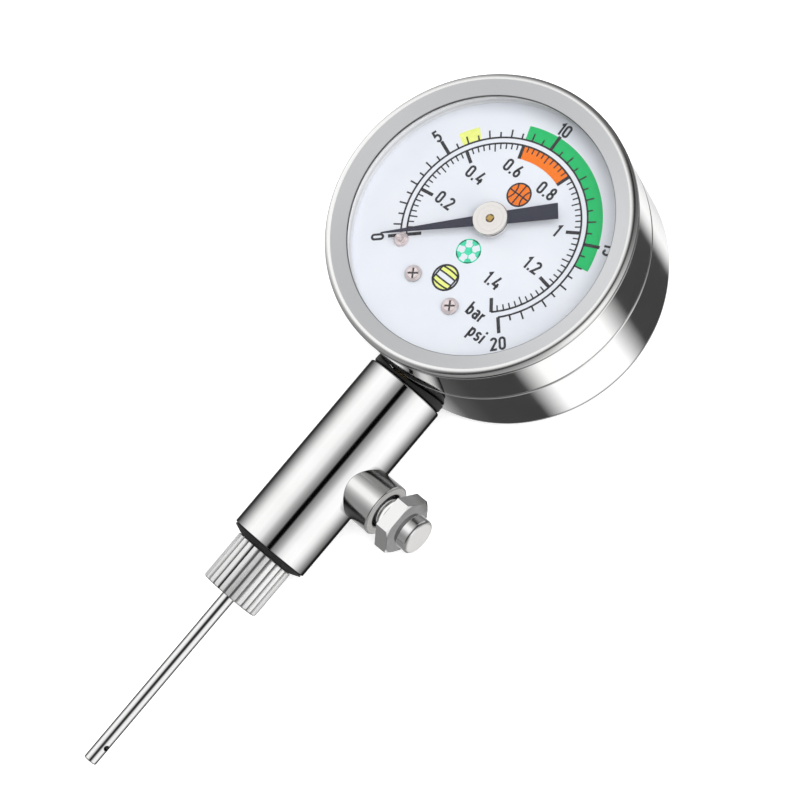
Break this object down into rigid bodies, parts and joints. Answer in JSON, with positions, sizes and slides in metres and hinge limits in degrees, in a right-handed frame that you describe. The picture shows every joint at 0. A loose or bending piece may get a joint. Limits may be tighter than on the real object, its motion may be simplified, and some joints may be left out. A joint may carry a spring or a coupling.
{
  "type": "ball pressure gauge",
  "caption": "Round dial gauge with a chromed stem, a side bleed button and a screw-in inflation needle, for reading and letting down the pressure of a sports ball.",
  "frame": {"origin": "centre of the flat back of the case, which the gauge rests on", "axes": "+Z out through the dial, +Y to the top of the dial, the stem and needle along -Y, the bleed button along +X"},
  "size_m": [0.046, 0.1176, 0.025],
  "materials": {
    "chrome_shell": "bright chrome plate",
    "satin_bezel": "satin turned face with a bright rim",
    "clear_lens": "clear and glossy",
    "pale_rubber": "soft matt",
    "dial_enamel": "white enamel with printed scales",
    "pointer_paint": "semi-matt black paint",
    "bright_steel": "bright turned steel",
    "brass": "plain turned brass",
    "bronze": "drawn phosphor bronze",
    "spring_steel": "hard drawn wire",
    "black_rubber": "matt black",
    "chrome_fittings": "bright plate on turned fittings"
  },
  "bodies": {
    "gauge_body": {"case": "chrome_shell", "bezel_ring": "satin_bezel", "lens": "clear_lens", "lens_gasket": "pale_rubber", "dial_plate": "dial_enamel", "pointer_stop_pin": "bright_steel", "dial_screw_left": "bright_steel", "dial_post_left": "brass", "dial_screw_right": "bright_steel", "dial_post_right": "brass", "hairspring": "bronze", "movement_lower_plate": "brass", "movement_upper_plate": "brass", "movement_pillar_1": "brass", "movement_screw_1": "bright_steel", "movement_pillar_2": "brass", "movement_screw_2": "bright_steel", "movement_pillar_3": "brass", "movement_screw_3": "bright_steel", "socket_block": "brass", "socket_screw_left": "bright_steel", "socket_screw_right": "bright_steel", "bourdon_tube": "bronze", "stem_seal": "black_rubber", "stem_tube": "chrome_shell", "valve_boss": "chrome_fittings", "valve_spring": "spring_steel"},
    "sector": {"sector_gear": "brass", "sector_shaft": "spring_steel", "sector_pin": "spring_steel"},
    "link": {"drive_link": "brass"},
    "pointer": {"pinion_arbor": "brass", "pointer_blade": "pointer_paint", "pointer_hub": "bright_steel"},
    "bourdon_end": {"bourdon_tip": "brass", "tip_pin": "spring_steel"},
    "bleed_button": {"valve_button": "chrome_fittings", "valve_seal": "black_rubber"},
    "needle_carrier": {"needle_washer": "black_rubber"},
    "needle_unit": {"needle_nut": "chrome_fittings", "needle": "bright_steel"}
  },
  "joints": [
    {"name": "sector_swing", "type": "hinge", "parent": "gauge_body", "child": "sector", "pos_m": [0.01044, -0.00396, 0.0154], "axis": [0, 0, 1], "range_deg": [0, 36.1]},
    {"name": "link_swing", "type": "hinge", "parent": "sector", "child": "link", "pos_m": [0.01472, -0.00536, 0.01435], "axis": [0, 0, 1], "range_deg": [-36.1, 0]},
    {"name": "pointer_turn", "type": "hinge", "parent": "gauge_body", "child": "pointer", "pos_m": [0, 0.00175, 0.0205], "axis": [0, 0, -1], "range_deg": [0, 270.5]},
    {"name": "bourdon_flex", "type": "slide", "parent": "gauge_body", "child": "bourdon_end", "axis": [0, 1, 0], "range_m": [0, 0.00278], "stiffness_N_per_m": 100, "springref_m": -0.0002, "deforming": ["bourdon_tube"]},
    {"name": "button_press", "type": "slide", "parent": "gauge_body", "child": "bleed_button", "axis": [-1, 0, 0], "range_m": [0, 0.0015], "stiffness_N_per_m": 400, "springref_m": -0.002, "deforming": ["valve_spring"]},
    {"name": "needle_travel", "type": "slide", "parent": "gauge_body", "child": "needle_carrier", "axis": [0, -1, 0], "range_m": [0, 0.0048]},
    {"name": "needle_turn", "type": "hinge", "parent": "needle_carrier", "child": "needle_unit", "pos_m": [0, -0.0594, 0.008], "axis": [0, -1, 0], "range_deg": [0, 2161]}
  ],
  "couplings": [
    {"joint": "sector_swing", "follows": "bourdon_flex", "rad_per_m": 225.93},
    {"joint": "link_swing", "follows": "bourdon_flex", "rad_per_m": -225.93},
    {"joint": "pointer_turn", "follows": "bourdon_flex", "rad_per_m": 1694.5},
    {"joint": "needle_turn", "follows": "needle_travel", "rad_per_m": 7854}
  ]
}
